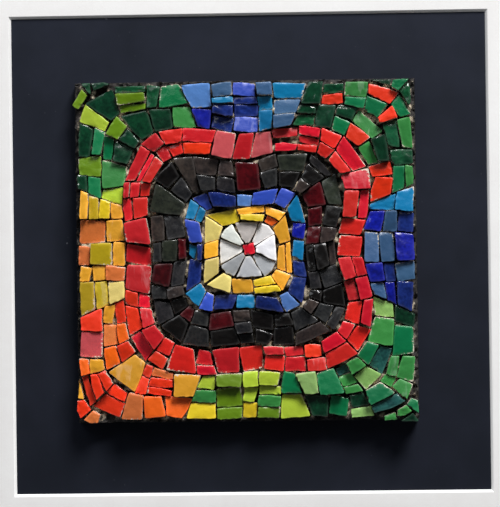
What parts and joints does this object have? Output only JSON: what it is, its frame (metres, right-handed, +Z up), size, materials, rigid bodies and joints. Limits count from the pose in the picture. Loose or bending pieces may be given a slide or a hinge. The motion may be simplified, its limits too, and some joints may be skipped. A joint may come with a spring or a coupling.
{
  "type": "mosaic panel",
  "caption": "Small square wall mosaic of cut glazed and glass tesserae in a rosette pattern, set in mortar on a base board and mounted on a dark board inside a bevelled window mat.",
  "frame": {"origin": "centre of the backing board's back face, on the wall", "axes": "+Z up, +Y out of the back into the wall, so the picture faces -Y, and +X to the viewer's right"},
  "size_m": [0.3, 0.0197, 0.3],
  "materials": {
    "backing_board": "satin",
    "window_mat": "matte",
    "base_board": "matte",
    "mortar": "matte",
    "white_tesserae": "gloss",
    "yellow_tesserae": "gloss",
    "blue_tesserae": "gloss",
    "black_tesserae": "gloss",
    "red_tesserae": "gloss",
    "green_tesserae": "gloss",
    "lime_tesserae": "gloss",
    "orange_tesserae": "gloss"
  },
  "bodies": {
    "root": {"backing_board": "backing_board", "window_mat": "window_mat", "base_board": "base_board", "heart_mortar": "mortar", "heart_tessera": "red_tesserae", "white_tessera_1": "white_tesserae", "white_tessera_2": "white_tesserae", "white_tessera_3": "white_tesserae", "white_tessera_4": "white_tesserae", "white_tessera_5": "white_tesserae", "white_tessera_6": "white_tesserae", "white_tessera_7": "white_tesserae", "white_tessera_8": "white_tesserae", "yellow_tesserae_top_right": "yellow_tesserae", "yellow_tesserae_top_left": "yellow_tesserae", "yellow_tesserae_bottom_left": "yellow_tesserae", "yellow_tesserae_bottom_right": "yellow_tesserae", "blue_tesserae_top_right": "blue_tesserae", "blue_tesserae_top_left": "blue_tesserae", "blue_tesserae_bottom_left": "blue_tesserae", "blue_tesserae_bottom_right": "blue_tesserae", "black_tesserae_top_right": "black_tesserae", "black_tesserae_top_left": "black_tesserae", "black_tesserae_bottom_left": "black_tesserae", "black_tesserae_bottom_right": "black_tesserae", "red_tesserae_top_right": "red_tesserae", "red_tesserae_top_left": "red_tesserae", "red_tesserae_bottom_left": "red_tesserae", "red_tesserae_bottom_right": "red_tesserae", "blue_ground_right": "blue_tesserae", "green_ground_top_right": "green_tesserae", "blue_ground_top": "blue_tesserae", "green_ground_top_left": "green_tesserae", "yellow_ground_left": "yellow_tesserae", "orange_ground_bottom_left": "orange_tesserae", "lime_ground_bottom": "lime_tesserae", "green_ground_bottom_right": "green_tesserae"}
  },
  "joints": []
}
